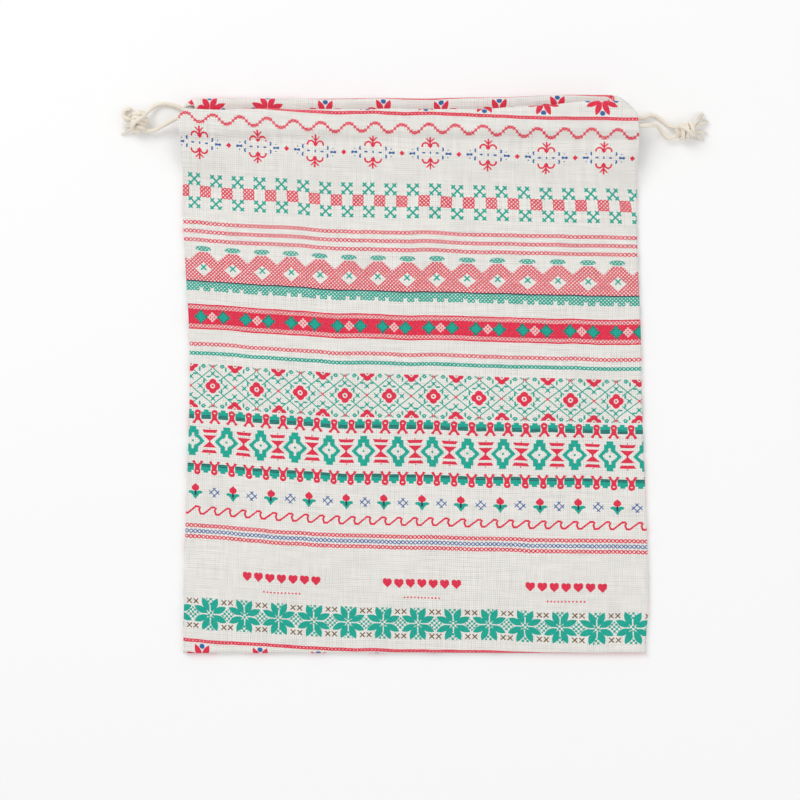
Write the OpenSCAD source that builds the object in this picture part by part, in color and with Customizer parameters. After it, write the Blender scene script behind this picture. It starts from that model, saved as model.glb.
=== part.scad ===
// Drawstring gift pouch, lying flat on its back: one strip of cloth folded at the bottom,
// two sewn sides, a casing along each edge of the mouth and two cords pulled from opposite sides.
// +X right, +Y towards the mouth, +Z up from the surface it lies on. Millimetres.

/* [Pouch] */
// Width across the mouth
mouth_w = 247; // [120:1:300]
// Width across the bottom fold
base_w = 251; // [120:1:310]
// Height from the bottom fold to the top of the mouth
pouch_h = 300; // [180:1:400]
// Thickness of one layer of cloth
cloth_t = 0.8; // [0.6:0.1:1.2]
// Room between the two panels in the middle of the pouch
room = 8; // [6:0.5:14]

/* [Casings] */
// Depth of each casing, from the top fold to its stitch line
casing_d = 17; // [14:0.5:24]
// Cloth below the stitch line that the hem's raw edge leaves inside
hem_tail = 4; // [2:0.5:8]
// Height of each tunnel for the cords
tunnel_h = 3.2; // [3:0.1:5]
// Gap between the two casings at the mouth
mouth_gap = 4.8; // [4.4:0.1:8]
// How far the front's top fold lies below the back's
front_drop = 5.5; // [0:0.5:8]

/* [Seams] */
// Width of the seam allowance inside each side
seam_w = 10; // [6:0.5:14]
// Length of one stitch
stitch_l = 3; // [2.5:0.5:5]
// Thickness of the sewing thread
thread_d = 0.4; // [0.3:0.05:0.6]

/* [Cords] */
// Thickness of the drawstrings
cord_d = 2.4; // [2:0.1:2.8]
// Distance between the two cords in one tunnel
cord_pitch = 4; // [3.5:0.1:5]
// Size of each overhand knot
knot_d = 11; // [9:0.5:13]

/* [Hidden] */
$fn = 32;
half_h = pouch_h / 2;
stitch_y = half_h - casing_d;
casing_h = tunnel_h + 2 * cloth_t;
casing_r = casing_h / 2;
front_hem_z = casing_h + mouth_gap;
back_cord_z = cloth_t + tunnel_h / 2;
front_cord_z = front_hem_z + back_cord_z;
left_cord_y = half_h - casing_d / 2 + cord_pitch / 2;
right_cord_y = left_cord_y - cord_pitch;
cord_r = cord_d / 2;
// Room left between pieces that move past each other
play = 0.3;
seam_top = 3 * cloth_t;
fold_r = (seam_top + play + cloth_t) / 2;
fold_y = -half_h + fold_r;
front_start_y = fold_y + 2 * play;
seam_end_y = stitch_y - hem_tail - front_drop;
run_end = mouth_w / 2 + 0.5;
turn_x = mouth_w / 2 - 1.5;
turn_tilt = atan(front_drop / (front_cord_z - back_cord_z));
turn_r = norm([front_drop, front_cord_z - back_cord_z]) / 2;
turn_angle = 88;
knot_r = knot_d / 2;
cord_sides = 8;
cloth_cells_x = 26;
cloth_rows = 30;

// Routes of the free cord ends, [x, y, z]: from the casing to the knot, then from the knot to the tail's end.
left_upper_route = [
    [-124, 143.5, 2.4], [-128, 145.5, 2.2], [-133, 147, 1.8], [-138, 147, 1.8], [-142, 145, 2.5], [-146, 141, 4.5]
];
left_lower_route = [
    [-124.3, 138, 12], [-128, 138, 11], [-132.5, 136.5, 7], [-137, 134.5, 4.5], [-141, 132.5, 4], [-146, 132.5, 4.5]
];
left_curled_route = [
    [-151, 139, 5], [-155, 139, 3.5], [-157.5, 140.5, 2], [-157, 143.5, 1.8], [-153.5, 144.5, 1.8]
];
left_frayed_route = [[-150, 134, 4], [-153, 132, 2.5], [-156, 131.5, 1.8], [-159, 132.5, 1.8]];
right_upper_route = [
    [124, 139.5, 2.4], [127, 140.5, 2.2], [131, 140, 1.8], [134.5, 137.5, 2], [138, 135, 3], [142, 134, 5]
];
right_lower_route = [
    [124.3, 134, 12], [127, 134.5, 10.5], [130.5, 134.5, 7], [133.5, 131.5, 5], [136.5, 128.5, 4], [141, 129.5, 4]
];
right_long_route = [[149, 135, 5], [151.5, 137.5, 3.5], [154, 140, 2], [157, 142, 1.8]];
right_short_route = [[150, 131, 4.5], [153.5, 130.5, 3], [157, 131.5, 1.8]];
left_knot_at = [-149, 137, 5.6];
right_knot_at = [146, 132, 5.6];

cloth_color = [0.94, 0.92, 0.89];
inside_color = [0.88, 0.86, 0.82];
thread_color = [0.97, 0.96, 0.93];
cord_color = [0.93, 0.88, 0.80];

// ---- Heights and widths of the cloth ----

function smooth(t) = let (c = min(1, max(0, t))) c * c * (3 - 2 * c);
function half_w(y) = (mouth_w + (base_w - mouth_w) * (half_h - y) / pouch_h) / 2;

// How far a casing's bulging layer stands off its flat layer
function bulge(y) = tunnel_h * smooth((y - stitch_y) / 4);

// Underside of the front panel: low along the seams, full in the middle, level at the mouth
function front_under(x, y) =
    let (
        across = smooth((1 - abs(x) / half_w(y)) / 0.45),
        up = smooth((y / half_h + 1) / 0.35),
        pillow = seam_top + play + room * across * up,
        level = front_hem_z + cloth_t,
        below_stitches = stitch_y - front_drop - y,
        rise = smooth((45 - below_stitches) / 40)
    )
    pillow * (1 - rise) + level * rise + bulge(y + front_drop);

// ---- Shapes shared by several pieces ----

// A closed solid between two grids of points that have the same rows and columns.
module layer(under, over, rows, cols) {
    count = rows * cols;
    cells = [for (j = [0:rows - 2]) for (i = [0:cols - 2]) j * cols + i];
    border = concat(
        [for (i = [0:cols - 2]) i],
        [for (j = [0:rows - 2]) j * cols + cols - 1],
        [for (i = [cols - 1:-1:1]) (rows - 1) * cols + i],
        [for (j = [rows - 1:-1:1]) j * cols]
    );
    pairs = [for (k = [0:len(border) - 1]) [border[k], border[(k + 1) % len(border)]]];
    polyhedron(
        points = concat(under, over),
        faces = concat(
            [for (q = cells) [q, q + 1, q + cols]],
            [for (q = cells) [q + 1, q + cols + 1, q + cols]],
            [for (q = cells) [count + q, count + q + cols, count + q + 1]],
            [for (q = cells) [count + q + 1, count + q + cols, count + q + cols + 1]],
            [for (p = pairs) [p[0], count + p[0], p[1]]],
            [for (p = pairs) [p[1], count + p[0], count + p[1]]]
        )
    );
}

// A straight strip along X; its section is drawn with X as depth and Y as height.
module strip_x(length) {
    rotate([90, 0, 90]) linear_extrude(length, center = true) children();
}

// Section of a hem: a ribbon from the raw edge over the tunnel, round the top fold and back to the panel.
// stand is 1 where this layer bulges over the tunnel and 0 where it lies flat.
function hem_line(inset, stand) =
    let (
        ys = concat([stitch_y - hem_tail], [for (k = [0:6]) stitch_y + k * 4 / 6]),
        flat = [for (y = ys) [y, casing_h - inset - tunnel_h * stand + bulge(y) * stand]],
        turn = [for (a = [90:-15:-90]) [half_h - casing_r, casing_r] + (casing_r - inset) * [cos(a), sin(a)]]
    )
    concat(flat, turn);
module hem_section(stand) {
    inner = hem_line(cloth_t, stand);
    polygon(concat(hem_line(0, stand), [for (k = [len(inner) - 1:-1:0]) inner[k]]));
}

// A flat piece that follows the pouch's side between two insets from its edge.
module side_strip(side, outer, inner, from_y, to_y) {
    polygon([
        [side * (half_w(from_y) - outer), from_y], [side * (half_w(to_y) - outer), to_y],
        [side * (half_w(to_y) - inner), to_y], [side * (half_w(from_y) - inner), from_y]
    ]);
}

// Stitches of one seam along a side, standing between the panels beside the allowance.
module side_stitches(side, outer, inner) {
    for (y = [fold_y + 2 : stitch_l : seam_end_y - stitch_l])
        translate([0, 0, cloth_t]) linear_extrude(2 * cloth_t)
            side_strip(side, outer, inner, y, y + 0.7 * stitch_l);
}

// Stitches that hold a hem, in a row across the pouch.
module hem_stitches(y, z) {
    count = floor((mouth_w - 8) / stitch_l);
    for (k = [0:count - 1])
        translate([(k + 0.15 - count / 2) * stitch_l, y - thread_d, z])
            cube([0.7 * stitch_l, thread_d, thread_d]);
}

// A limp round cord: rings of points swept along a route, with flat ends.
function unit(v) = v / norm(v);
function direction(route, i) =
    i == 0 ? unit([route[1][0] - route[0][0], 0, 0])
    : unit(route[min(i + 1, len(route) - 1)] - route[i - 1]);
function ring(route, i) =
    let (
        ahead = direction(route, i),
        side = unit(cross([0, 0, 1], ahead)),
        up = cross(ahead, side)
    )
    [for (k = [0:cord_sides - 1])
        let (a = (k + 0.5) * 360 / cord_sides) route[i] + cord_r * (cos(a) * side + sin(a) * up)];
module cord_tube(route) {
    n = len(route);
    s = cord_sides;
    steps = [for (i = [0:n - 2]) for (k = [0:s - 1]) [i * s + k, i * s + (k + 1) % s]];
    polyhedron(
        points = [for (i = [0:n - 1]) each ring(route, i)],
        faces = concat(
            [[for (k = [0:s - 1]) k]],
            [for (p = steps) [p[0], p[0] + s, p[1]]],
            [for (p = steps) [p[1], p[0] + s, p[1] + s]],
            [[for (k = [s - 1:-1:0]) (n - 1) * s + k]]
        )
    );
}

// A cord's straight run inside a casing, from its own side's slit to its turn at the other side.
module cord_run(side, y, z) {
    far = turn_x - 0.5;
    translate([side > 0 ? -far : -run_end, y, z])
        rotate([0, 90, 0]) cylinder(h = run_end + far, r = cord_r);
}

// Half of the turn that a cord makes at the far slit, from one casing to the other.
module cord_turn(side, back_y, upper) {
    mirror([side > 0 ? 0 : 1, 0, 0])
        translate([turn_x, back_y - front_drop / 2, (back_cord_z + front_cord_z) / 2])
            rotate([turn_tilt, 0, 0]) mirror([0, 0, upper ? 0 : 1])
                rotate([90, 0, 0]) rotate([0, 0, 90 - turn_angle])
                    rotate_extrude(angle = turn_angle) translate([turn_r, 0]) circle(cord_r);
}

// Two cord ends tied together: three loops of cord pulled up into a ball.
module knot() {
    loop_r = cord_d * 0.95;
    for (turn = [[0, 0, 0], [80, 0, 25], [80, 0, 115]])
        rotate(turn) rotate_extrude($fn = 12) translate([knot_r - loop_r, 0]) circle(loop_r, $fn = 10);
}

// ---- Back half, which lies on the surface ----

module back_panel() {
    top = half_h - casing_r;
    color(cloth_color) linear_extrude(cloth_t) polygon([
        [-half_w(fold_y), fold_y], [half_w(fold_y), fold_y],
        [mouth_w / 2, top], [-mouth_w / 2, top]
    ]);
}

module back_casing_hem() {
    color(inside_color) strip_x(mouth_w) hem_section(1);
}

module bottom_fold() {
    color(cloth_color) strip_x(base_w) translate([fold_y, fold_r]) difference() {
        circle(fold_r);
        circle(fold_r - cloth_t);
        translate([0, -fold_r]) square([fold_r, 2 * fold_r]);
    }
}

module seam_allowance(side) {
    color(inside_color) translate([0, 0, cloth_t]) linear_extrude(2 * cloth_t)
        side_strip(side, thread_d, seam_w, fold_y + 1, seam_end_y);
}
module left_seam_allowance() { seam_allowance(-1); }
module right_seam_allowance() { seam_allowance(1); }

module left_seam_thread() { color(thread_color) side_stitches(-1, 0, thread_d); }
module right_seam_thread() { color(thread_color) side_stitches(1, 0, thread_d); }

module left_overlock_thread() { color(thread_color) side_stitches(-1, seam_w, seam_w + thread_d); }
module right_overlock_thread() { color(thread_color) side_stitches(1, seam_w, seam_w + thread_d); }

module back_hem_thread() { color(thread_color) hem_stitches(stitch_y, 2 * cloth_t); }

module left_turn_back() { color(cord_color) cord_turn(-1, right_cord_y, false); }
module right_turn_back() { color(cord_color) cord_turn(1, left_cord_y, false); }

// ---- Front half, which lifts to open the mouth ----

module front_panel() {
    last_y = half_h - casing_r - front_drop;
    stitches = stitch_y - front_drop;
    flat_from = stitches - 5;
    ys = concat(
        [for (j = [0:cloth_rows]) front_start_y + (flat_from - front_start_y) * j / cloth_rows],
        [for (k = [0:4]) stitches + k],
        [last_y]
    );
    n = cloth_cells_x;
    under = [for (y = ys) for (i = [0:n])
        let (x = half_w(y) * (2 * i / n - 1)) [x, y, front_under(x, y)]];
    over = [for (p = under) [p[0], p[1], p[2] + cloth_t]];
    color(cloth_color) layer(under, over, len(ys), n + 1);
}

module front_casing_hem() {
    color(inside_color) translate([0, -front_drop, front_hem_z + casing_h]) mirror([0, 0, 1])
        strip_x(mouth_w) hem_section(0);
}

module front_hem_thread() {
    color(thread_color) hem_stitches(stitch_y - front_drop, front_hem_z + 2 * cloth_t);
}

module left_turn_front() { color(cord_color) cord_turn(-1, right_cord_y, true); }
module right_turn_front() { color(cord_color) cord_turn(1, left_cord_y, true); }

// ---- Left cord ----

module left_back_run() { color(cord_color) cord_run(-1, left_cord_y, back_cord_z); }
module left_front_run() { color(cord_color) cord_run(-1, left_cord_y - front_drop, front_cord_z); }
module left_upper_end() { color(cord_color) cord_tube(left_upper_route); }
module left_lower_end() { color(cord_color) cord_tube(left_lower_route); }
module left_knot() { color(cord_color) translate(left_knot_at) knot(); }
module left_curled_tail() { color(cord_color) cord_tube(left_curled_route); }
module left_frayed_tail() { color(cord_color) cord_tube(left_frayed_route); }

// ---- Right cord ----

module right_back_run() { color(cord_color) cord_run(1, right_cord_y, back_cord_z); }
module right_front_run() { color(cord_color) cord_run(1, right_cord_y - front_drop, front_cord_z); }
module right_upper_end() { color(cord_color) cord_tube(right_upper_route); }
module right_lower_end() { color(cord_color) cord_tube(right_lower_route); }
module right_knot() { color(cord_color) translate(right_knot_at) knot(); }
module right_long_tail() { color(cord_color) cord_tube(right_long_route); }
module right_short_tail() { color(cord_color) cord_tube(right_short_route); }

back_panel();
back_casing_hem();
bottom_fold();
left_seam_allowance();
right_seam_allowance();
left_seam_thread();
right_seam_thread();
left_overlock_thread();
right_overlock_thread();
back_hem_thread();
left_turn_back();
right_turn_back();
front_panel();
front_casing_hem();
front_hem_thread();
left_turn_front();
right_turn_front();
left_back_run();
left_front_run();
left_upper_end();
left_lower_end();
left_knot();
left_curled_tail();
left_frayed_tail();
right_back_run();
right_front_run();
right_upper_end();
right_lower_end();
right_knot();
right_long_tail();
right_short_tail();
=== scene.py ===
"""The drawstring gift pouch: cloth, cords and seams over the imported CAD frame.

Lengths are in millimetres until they go into a mesh, which is in metres."""
import math

import bmesh
import bpy
import numpy as np
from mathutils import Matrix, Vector


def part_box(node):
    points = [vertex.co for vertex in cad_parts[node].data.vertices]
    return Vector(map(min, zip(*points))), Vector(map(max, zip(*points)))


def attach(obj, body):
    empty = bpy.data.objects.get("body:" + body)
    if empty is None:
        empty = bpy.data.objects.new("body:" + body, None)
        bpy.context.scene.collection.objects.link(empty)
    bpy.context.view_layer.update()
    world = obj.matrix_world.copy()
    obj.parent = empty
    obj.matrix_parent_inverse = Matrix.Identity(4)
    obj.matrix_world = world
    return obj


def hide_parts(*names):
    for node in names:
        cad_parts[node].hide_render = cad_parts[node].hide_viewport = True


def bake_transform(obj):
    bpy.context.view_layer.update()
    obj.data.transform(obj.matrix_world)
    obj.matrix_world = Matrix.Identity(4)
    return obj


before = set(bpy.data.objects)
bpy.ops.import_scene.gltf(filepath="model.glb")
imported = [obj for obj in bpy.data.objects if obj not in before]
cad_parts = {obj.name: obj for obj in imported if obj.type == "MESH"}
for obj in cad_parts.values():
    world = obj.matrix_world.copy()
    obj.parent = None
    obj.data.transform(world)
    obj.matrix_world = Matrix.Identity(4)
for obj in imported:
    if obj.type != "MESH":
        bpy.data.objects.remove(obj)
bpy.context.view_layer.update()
MM = 0.001


def box_mm(node):
    """A CAD node's lowest and highest corners, in millimetres."""
    low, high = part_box(node)
    return np.array(low) / MM, np.array(high) / MM


# ---- Sizes taken from the frame ----

BACK_LOW, BACK_HIGH = box_mm("back_panel")
HEM_LOW, HEM_HIGH = box_mm("back_casing_hem")
FRONT_HEM_LOW, FRONT_HEM_HIGH = box_mm("front_casing_hem")
FOLD_LOW, FOLD_HIGH = box_mm("bottom_fold")
MOUTH_W = HEM_HIGH[0] - HEM_LOW[0]
BASE_W = BACK_HIGH[0] - BACK_LOW[0]
BOTTOM_Y = FOLD_LOW[1]
BACK_TOP_Y = HEM_HIGH[1]
FRONT_TOP_Y = FRONT_HEM_HIGH[1]
FOLD_R = (FOLD_HIGH[2] - FOLD_LOW[2]) / 2
HEM_R = (HEM_HIGH[2] - HEM_LOW[2]) / 2
FRONT_HEM_Z = FRONT_HEM_LOW[2]
CASING_D = 17.0
HEM_TAIL = 4.0
SEAM_W = 10.0
SLIT_Y = FRONT_HEM_LOW[1]
CLOTH_T = 0.6
CORD_D = 2.4
# The front panel is cut this far either side of its middle
FRONT_CUT = 25.0


# ---- Shader arithmetic: a Field is a value over the cloth, and sums on it add nodes to the tree ----


class Field:
    """A number that varies over a surface, held as a node socket."""

    def __init__(self, tree, socket):
        self.tree = tree
        self.socket = socket

    def node(self, operation, *values):
        made = self.tree.nodes.new("ShaderNodeMath")
        made.operation = operation
        for slot, value in zip(made.inputs, values):
            if isinstance(value, Field):
                self.tree.links.new(value.socket, slot)
            else:
                slot.default_value = value
        return Field(self.tree, made.outputs[0])

    def __add__(self, other):
        return self.node("ADD", self, other)

    __radd__ = __add__

    def __sub__(self, other):
        return self.node("SUBTRACT", self, other)

    def __rsub__(self, other):
        return self.node("SUBTRACT", other, self)

    def __mul__(self, other):
        return self.node("MULTIPLY", self, other)

    __rmul__ = __mul__

    def __truediv__(self, other):
        return self.node("DIVIDE", self, other)

    def __neg__(self):
        return self.node("MULTIPLY", self, -1.0)

    def __abs__(self):
        return self.node("ABSOLUTE", self)

    def __lt__(self, other):
        return self.node("LESS_THAN", self, other)

    def __gt__(self, other):
        return self.node("GREATER_THAN", self, other)

    def __and__(self, other):
        return self.node("MINIMUM", self, other)

    def __or__(self, other):
        return self.node("MAXIMUM", self, other)

    def __invert__(self):
        return self.node("SUBTRACT", 1.0, self)

    def near(self, target, within):
        """1 where this lies within a distance of the target, and 0 elsewhere."""
        return self.node("COMPARE", self, target, within)

    def tile(self, pitch, at=0.0):
        """The distance from the nearest repeat, from -pitch/2 to pitch/2."""
        shifted = self - at
        return self.node("WRAP", shifted, pitch / 2, -pitch / 2)

    def snap(self, pitch):
        """The middle of the stitch cell that this falls in."""
        return self.node("SNAP", self, pitch) + pitch / 2

    def at_least(self, low):
        return self.node("MAXIMUM", self, low)

    def at_most(self, high):
        return self.node("MINIMUM", self, high)

    def clipped(self):
        return self.at_least(0.0).at_most(1.0)

    def root(self):
        return self.node("SQRT", self)

    def sine(self):
        return self.node("SINE", self)


# ---- Printed shapes: each returns 1 where ink lies; x and y are in millimetres ----


def disc(x, y, radius):
    return (x * x + y * y) < radius * radius


def ellipse(x, y, half_x, half_y):
    return disc(x / half_x, y / half_y, 1.0)


def box(x, y, half_x, half_y):
    return x.near(0.0, half_x) & y.near(0.0, half_y)


def diamond(x, y, half_x, half_y):
    return (abs(x) / half_x + abs(y) / half_y) < 1.0


def ring(x, y, radius, half_width):
    return (x * x + y * y).root().near(radius, half_width)


def lattice(x, y, pitch, half_width):
    """Cross stitches side by side, whose arms join into slanting lines."""
    rising = (x + y).tile(pitch).near(0.0, half_width)
    falling = (x - y).tile(pitch).near(0.0, half_width)
    return rising | falling


def cross(x, y, arm, half_width):
    """One cross stitch."""
    return (abs(x) - abs(y)).near(0.0, half_width) & box(x, y, arm, arm)


def turned(x, y, degrees):
    c = math.cos(math.radians(degrees))
    s = math.sin(math.radians(degrees))
    return x * c + y * s, y * c - x * s


def leaf(x, y, degrees, middle, half_length, half_width):
    """A pointed leaf whose long axis passes through the origin."""
    along, across = turned(x, y, degrees)
    reach = (along - middle) / half_length
    return abs(across) < (1.0 - reach * reach) * half_width


def chain(x, y, pitch, thickness=0.40):
    """A single row of cross stitches."""
    return lattice(x, y - pitch / 2, pitch, thickness) & y.near(0.0, pitch / 2)


# ---- The bands of the print, from the mouth to the bottom ----
# Each takes x across the cloth and y up from its own middle, and gives its inks and where each one lies.

RED = (0.80, 0.022, 0.070)
GREEN = (0.0, 0.41, 0.31)
BLUE = (0.03, 0.13, 0.38)
BROWN = (0.17, 0.090, 0.028)
DARK = (0.045, 0.050, 0.075)
PINK = (0.92, 0.66, 0.64)
CLOTH = (0.86, 0.838, 0.795)


def edge_chain(x, y):
    return [(RED, chain(x, y, 1.94, 0.62))]


def wave(x, y):
    pitch = 14.43
    cell = pitch / 10
    column = x.snap(cell)
    height = (abs(column.tile(pitch, -93.6)) * -1.0 + pitch / 4).at_least(-2.1).at_most(2.1)
    return [(RED, cross(x - column, y - height, 1.05, 0.46))]


def sprigs(x, y):
    pitch = 30.98
    across = x.tile(pitch, -53.6)
    ax = abs(across)
    ay = abs(y)
    stem = box(across, ay - 5.75, 0.46, 2.9)
    twigs = (ax - (ay - 5.5) * 0.9).near(0.0, 0.50) & ay.near(6.6, 1.15)
    tip = ring(ax - 2.45, ay - 3.5, 1.85, 0.46) & (ay > 3.1)
    bead = diamond(across, ay - 3.0, 0.6, 0.7)
    between = diamond(x.tile(pitch, -53.6 + pitch / 2), y, 1.45, 1.45)
    middle = ellipse(across, y, 0.42, 0.75)
    dashes = ellipse(ax - 3.7, y, 0.9, 0.45)
    arcs = ellipse(ax - 6.7, ay - 2.1, 0.65, 1.05) & ~ellipse(ax - 6.0, ay - 2.1, 0.5, 0.7)
    bars = box(ax - 10.0, y, 1.5, 0.44) | ellipse(ax - 8.8, y, 0.6, 0.72) | ellipse(ax - 10.8, y, 0.6, 0.72)
    specks = disc(ax - 9.6, ay - 1.95, 0.33)
    red = stem | twigs | tip | bead | between
    blue = middle | dashes | arcs | bars | specks
    return [(RED, red), (BLUE, blue)]


def crosses(x, y):
    pitch = 11.8
    ax = abs(x.tile(pitch, -119.1))
    ay = abs(abs(y) - 6.2)
    arms = (ax - ay).near(0.0, 0.62) & box(ax, ay, 3.1, 3.1)
    tips = cross(ax - 2.1, ay - 2.1, 1.15, 0.65)
    half = x.tile(pitch, -119.1 + pitch / 2)
    block = lattice(half, y, 2.07, 0.47) & box(half, y, 3.1, 3.1)
    return [(GREEN, arms | tips), (RED, block)]


def three_chains(x, y):
    lines = chain(x, y, 2.2) | chain(x, abs(y) - 4.65, 2.2)
    return [(RED, lines)]


def scallops(x, y):
    pitch = 15.72
    cell = pitch / 8
    across = x.tile(pitch, -114.1)
    ax = abs(across)
    edge = 8.4 - (ax - 2.9).at_least(0.0) * 0.95
    inside = (y < edge) & (y > -7.4)
    hole = (ax / 4.8 + abs(y + 0.9) / 3.8) < 1.0
    net = lattice(across, y, cell, 0.40)
    star = cross(across, y - 0.2, 1.6, 0.55)
    cap = lattice(across, y, cell, 0.50) & ellipse(across, y - 10.3, 4.3, 1.4)
    line = y.near(-7.55, 0.34)
    low = x.tile(pitch, -112.2)
    low_ax = abs(low.snap(cell))
    teeth = (y > -11.0) | ((y > -12.9) & ((low_ax < 1.2) | (low_ax > 4.2)))
    fringe = lattice(low, y, cell, 0.52) & teeth & (y < -7.4)
    return [
        (RED, net & inside & ~hole),
        (GREEN, star | cap | fringe),
        (DARK, line),
    ]


def ribbon(x, y):
    pitch = 24.56
    ay = abs(y)
    ground = ay < 6.75
    pearls = ~lattice(x, ay - 5.0 - 0.97, 1.94, 0.34) & ay.near(5.0, 0.97)
    left = x.tile(pitch / 2, -115.6)
    ax = abs(left)
    steps = box(ax, ay, 2.15, 2.15) | box(ax, ay, 1.0, 3.5) | box(ax, ay, 3.5, 1.0)
    rim = (ax + ay) > 2.7
    bloom = x.tile(pitch, -109.4)
    petals = lattice(bloom, y, 2.0, 0.42) & (((abs(bloom) + abs(y)) < 2.9) | disc(bloom, y, 2.0))
    return [
        (RED, ground),
        (CLOTH, pearls),
        (PINK, petals),
        (GREEN, steps),
        (DARK, steps & rim & lattice(x, y, 1.3, 0.2)),
    ]


def two_chains(x, y):
    return [(RED, chain(x, y - 2.55, 2.2)), (GREEN, chain(x, y + 2.4, 2.1, 0.56))]


def bloom_group(x, y):
    """One four-petalled flower with its leaves and buds."""
    ax = abs(x)
    ay = abs(y)
    radius = (x * x + y * y).root()
    angle = y.node("ARCTAN2", x, y)
    petals = radius < abs(angle.node("COSINE", angle * 2.0)) + 2.95
    eye = radius.near(0.95, 0.36)
    leaves = ellipse(ax - 4.8, ay - 2.5, 0.5, 1.25) | ellipse(ax - 2.35, ay - 5.0, 1.25, 0.5)
    buds = disc(ax - 6.8, y, 0.8) | disc(ax, ay - 6.7, 0.8)
    rays = cross(ax - 6.8, y, 1.4, 0.40) | cross(x, ay - 6.7, 1.4, 0.40)
    return petals & ~eye, leaves | buds | rays


def trellis(x, y):
    pitch = 23.8
    one = x.tile(pitch, -109.1)
    two = x.tile(pitch, -109.1 + pitch / 2)
    red_one, green_one = bloom_group(one, y)
    red_two, green_two = bloom_group(two, abs(y) - 11.6)
    slope_a = one / pitch + y / 19.6
    slope_b = one / pitch - y / 19.6
    lines = slope_a.tile(0.5).near(0.0, 0.019) | slope_b.tile(0.5).near(0.0, 0.019)
    far = abs(abs(one) - abs(two)) < pitch * 0.47
    seeds = ring(abs(two) - 6.9, abs(y) - 10.5, 0.62, 0.34)
    small = cross(one, abs(y) - 10.5, 0.95, 0.36) | cross(two, y, 1.0, 0.38)
    green = (green_one | green_two | seeds | (lines & far & ~small)) & ~(disc(one, y, 4.2)) & (abs(y) < 11.7)
    red = (red_one | red_two | small) & (abs(y) < 11.7)
    return [(GREEN, green), (RED, red)]


def figures(x, y, lift=0.9):
    """Green blocks between small red knots with a loop at one end and two legs at the other."""
    pitch = 9.21
    gx = abs(x.tile(pitch, -112.7))
    rx = abs(x.tile(pitch, -112.7 + pitch / 2))
    block = box(gx, y - lift, 2.7, 1.95) | box(gx, y - lift - 2.3, 1.3, 0.8)
    shade = box(gx, y - lift + 0.9, 2.4, 0.95) & y.tile(0.8).near(0.0, 0.24)
    loop = (box(rx, y - 2.1, 1.5, 1.3) | disc(rx, y - 2.2, 1.75)) & ~ellipse(rx, y - 2.1, 0.65, 0.32)
    body = box(rx, y - 0.1, 1.3, 1.2) | box(rx, y + 1.2, 1.6, 0.6)
    legs = (rx + (y + 0.9) * 0.85).near(0.5, 0.78) & y.near(-2.1, 1.2) & (rx > 0.35)
    feet = disc(rx - 2.0, y + 3.0, 0.68)
    return [(GREEN, block), (DARK, shade), (RED, loop | body | legs | feet)]


def figures_down(x, y):
    return figures(x, -y, -0.25)


def lanterns(x, y):
    pitch = 18.5
    fine = 0.62
    across = x.tile(pitch, -101.7)
    ax = abs(across.snap(fine))
    ay = abs(y.snap(fine))
    outer = ((ax / 6.4 + ay / 6.8) < 1.0) | ((ax < 2.8) & (ay < 6.5)) | ((ax < 1.6) & (ay < 7.9))
    inner = ((ax / 3.9 + ay / 3.6) < 1.0) | ((ax < 0.5) & (ay < 4.6))
    eye = disc(across, y, 0.62)
    bx = abs(x.tile(pitch, -101.7 + pitch / 2))
    by = abs(y)
    bars = by.near(5.5, 0.85) & (bx < by * 0.6 + 0.5)
    glass = (by < 3.3) & (bx < (by - 0.4).at_least(0.0) * 1.15 + 0.45)
    dots = disc(bx, by - 6.9, 0.38)
    return [(GREEN, (outer & ~inner) | eye), (RED, bars | glass | dots)]


def tulips(x, y):
    pitch = 20.4
    across = x.tile(pitch, -118.6)
    ax = abs(across)
    bud = ellipse(across, y - 2.1, 2.05, 1.7) | diamond(across, y - 3.1, 1.4, 1.5)
    calyx = (diamond(across, y + 1.0, 2.3, 3.1) & (y < 0.2)) | ellipse(ax - 2.1, y + 0.3, 1.6, 0.85)
    stalk = box(across, y + 0.7, 0.5, 1.2)
    bx = x.tile(pitch, -118.6 + pitch / 2)
    hash_a = (abs(bx + y)).near(1.75, 0.38)
    hash_b = (abs(bx - y)).near(1.75, 0.38)
    open_cross = (hash_a | hash_b) & box(bx, y, 2.75, 2.55)
    return [(RED, bud), (GREEN, calyx), (DARK, stalk), (BLUE, open_cross)]


def breakers(x, y):
    """A row of small waves, each rising slowly and falling at once."""
    pitch = 8.39
    place = x.tile(pitch, -119.6)
    rising = (y - (place + 0.9) * 0.85).near(0.0, 0.62) & place.near(-1.0, 2.2)
    crest = box(place - 2.0, y - 1.85, 1.2, 0.55)
    falling = (place - abs(y) * 0.35).near(2.85, 0.55) & (abs(y) < 1.8)
    trough = box(x.tile(pitch, -119.6 + 4.3), y + 1.9, 1.2, 0.55)
    return [(RED, rising | crest | falling | trough)]


def flag_chains(x, y):
    red = chain(x, y - 3.0, 2.2, 0.46) | chain(x, y + 2.9, 2.2, 0.46)
    return [(RED, red), (BLUE, chain(x, y, 2.2, 0.36))]


def heart_groups(x, y):
    """Three groups of small hearts with a dotted line below each."""
    group = x.tile(75.5, -71.8)
    hx = abs(group.tile(6.2, 0.0))
    hy = y - 3.4
    lobes = disc(hx - 1.15, hy - 1.0, 1.35)
    point = ((hx + abs(hy + 0.1)) < 2.6) & (hy < 0.6)
    row = box(group, hy, 21.7, 3.2)
    dots = disc(group.tile(1.9), y + 4.4, 0.5) & box(group, y + 4.4, 10.3, 1.0)
    return [(RED, ((lobes | point) & row) | dots)]


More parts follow.
